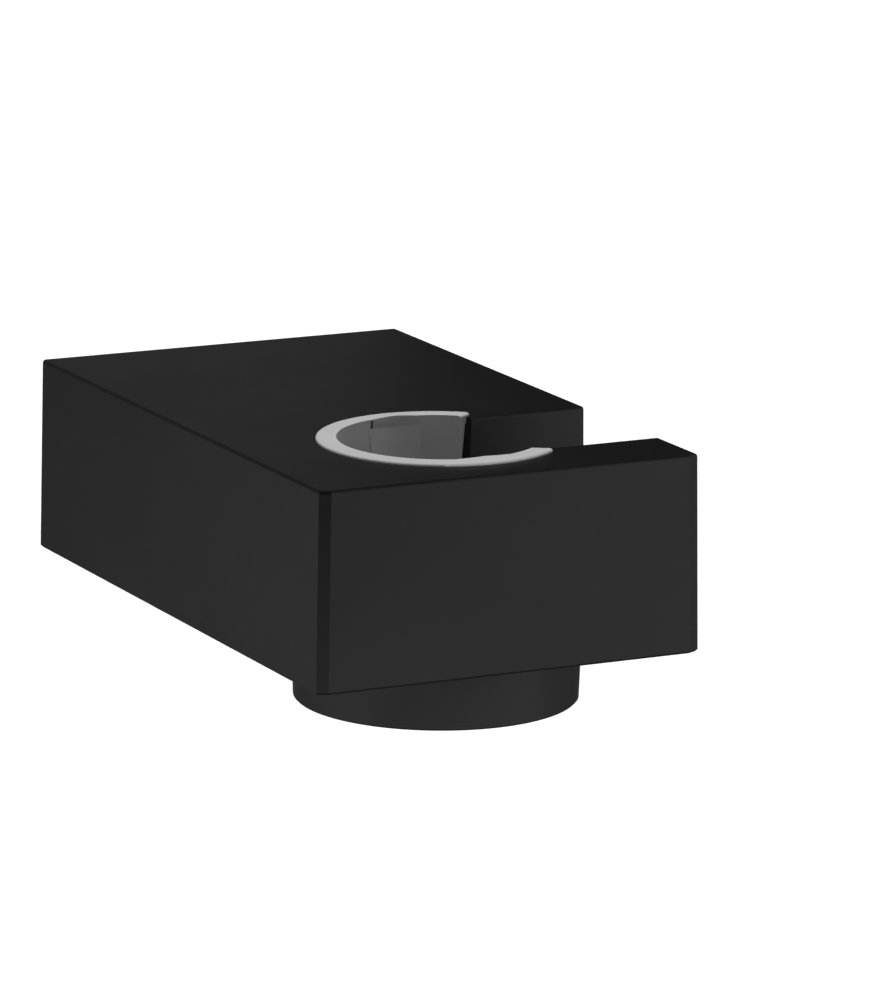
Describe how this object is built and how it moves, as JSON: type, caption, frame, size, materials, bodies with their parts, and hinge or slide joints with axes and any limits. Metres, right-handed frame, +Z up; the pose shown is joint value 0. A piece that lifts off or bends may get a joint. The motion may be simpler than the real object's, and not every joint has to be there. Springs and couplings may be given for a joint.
{
  "type": "hand shower holder",
  "caption": "Wall holder for a hand shower: a black block with a tapered seat near its front, a hose slot to one side and a short collar below.",
  "frame": {"origin": "centre of the wall face, in the plane that touches the wall", "axes": "+X to the side where the hose slot opens, +Y into the wall, +Z up along the seat's axis"},
  "size_m": [0.05, 0.0813, 0.0316],
  "materials": {
    "black_coat": "matte black powder coat",
    "grey_plastic": "moulded, fine matte texture",
    "bracket_steel": "bead blasted",
    "screw_steel": "dark passivated"
  },
  "bodies": {
    "root": {"holder_body": "black_coat", "cone_insert": "grey_plastic", "wall_bracket": "bracket_steel", "grub_screw": "screw_steel"}
  },
  "joints": []
}
